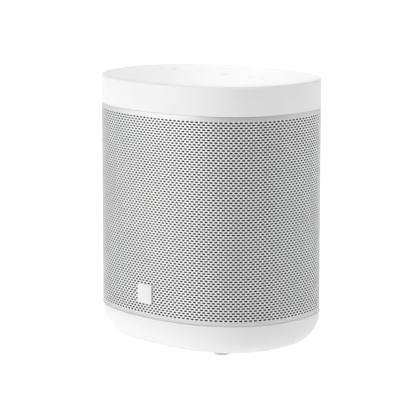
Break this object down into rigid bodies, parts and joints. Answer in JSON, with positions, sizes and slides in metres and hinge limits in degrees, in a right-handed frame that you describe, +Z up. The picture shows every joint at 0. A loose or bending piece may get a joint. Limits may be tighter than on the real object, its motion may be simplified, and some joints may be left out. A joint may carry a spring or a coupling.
{
  "type": "smart speaker",
  "caption": "Tabletop smart speaker: white plastic top and base around an oval, slotted light metal sleeve, with a small blank badge low on the front.",
  "frame": {"origin": "the middle of the footprint, on the surface that the feet stand on", "axes": "+Z up, -Y the front with the badge, X along the long axis of the oval"},
  "size_m": [0.131, 0.1041, 0.151],
  "materials": {
    "white_plastic": "white moulded plastic, fine satin texture",
    "grille_paint": "thin steel sheet, satin light grey-white paint",
    "badge_plastic": "smooth white plastic",
    "foot_rubber": "matt grey rubber",
    "black_cloth": "black acoustic cloth",
    "black_plastic": "black moulded plastic",
    "black_rubber": "black rubber",
    "grey_foam": "grey damping foam and pad",
    "steel": "zinc-plated steel",
    "magnet": "dark ceramic magnet",
    "copper": "enamelled copper wire",
    "brass": "stamped antenna metal",
    "cone_paper": "black coated paper",
    "spider_cloth": "resin-treated woven cloth",
    "former_foil": "thin coil former",
    "circuit": "green solder mask",
    "can_metal": "tinned shield metal",
    "aluminium": "plain aluminium",
    "diffuser": "milky plastic"
  },
  "bodies": {
    "housing": {"top_cover": "white_plastic", "base_shell": "white_plastic", "grille_sleeve": "grille_paint", "grille_cloth": "black_cloth", "badge_plate": "badge_plastic", "foot_front_left": "foot_rubber", "foot_front_right": "foot_rubber", "foot_rear_left": "foot_rubber", "foot_rear_right": "foot_rubber", "enclosure_front": "black_plastic", "enclosure_rear": "black_plastic", "enclosure_seal": "black_rubber", "damping_pad": "grey_foam", "driver_gasket": "black_rubber", "driver_basket": "steel", "driver_surround": "black_rubber", "driver_spider": "spider_cloth", "driver_top_plate": "steel", "driver_magnet": "magnet", "driver_yoke": "steel", "driver_terminal": "black_plastic", "lead_grommet": "black_rubber", "driver_lead": "black_rubber", "top_frame": "black_plastic", "main_board": "circuit", "processor_can": "can_metal", "radio_can": "can_metal", "thermal_pad": "grey_foam", "heat_spreader": "aluminium", "ribbon_cable": "diffuser", "top_board": "circuit", "light_ring": "diffuser", "microphone_boot_left": "black_rubber", "microphone_boot_right": "black_rubber", "antenna_left": "brass", "antenna_right": "brass", "power_jack": "black_plastic", "power_pin": "steel", "power_board": "circuit", "power_lead": "black_rubber", "driver_screw_lower_left": "steel", "driver_screw_lower_right": "steel", "driver_screw_upper_left": "steel", "driver_screw_upper_right": "steel", "enclosure_screw_lower_left": "steel", "enclosure_screw_lower_right": "steel", "enclosure_screw_upper_left": "steel", "enclosure_screw_upper_right": "steel", "base_screw_front_left": "steel", "base_screw_front_right": "steel", "base_screw_rear_left": "steel", "base_screw_rear_right": "steel", "top_frame_screw_front_left": "steel", "top_frame_screw_front_right": "steel", "top_frame_screw_rear_left": "steel", "top_frame_screw_rear_right": "steel"},
    "cone_assembly": {"driver_cone": "cone_paper", "driver_dust_cap": "cone_paper", "driver_coil_former": "former_foil", "driver_coil_winding": "copper"}
  },
  "joints": [
    {"name": "cone_travel", "type": "slide", "parent": "housing", "child": "cone_assembly", "axis": [0, -1, 0], "range_m": [-0.0025, 0.0025], "stiffness_N_per_m": 1500, "deforming": ["driver_surround", "driver_spider"]}
  ]
}
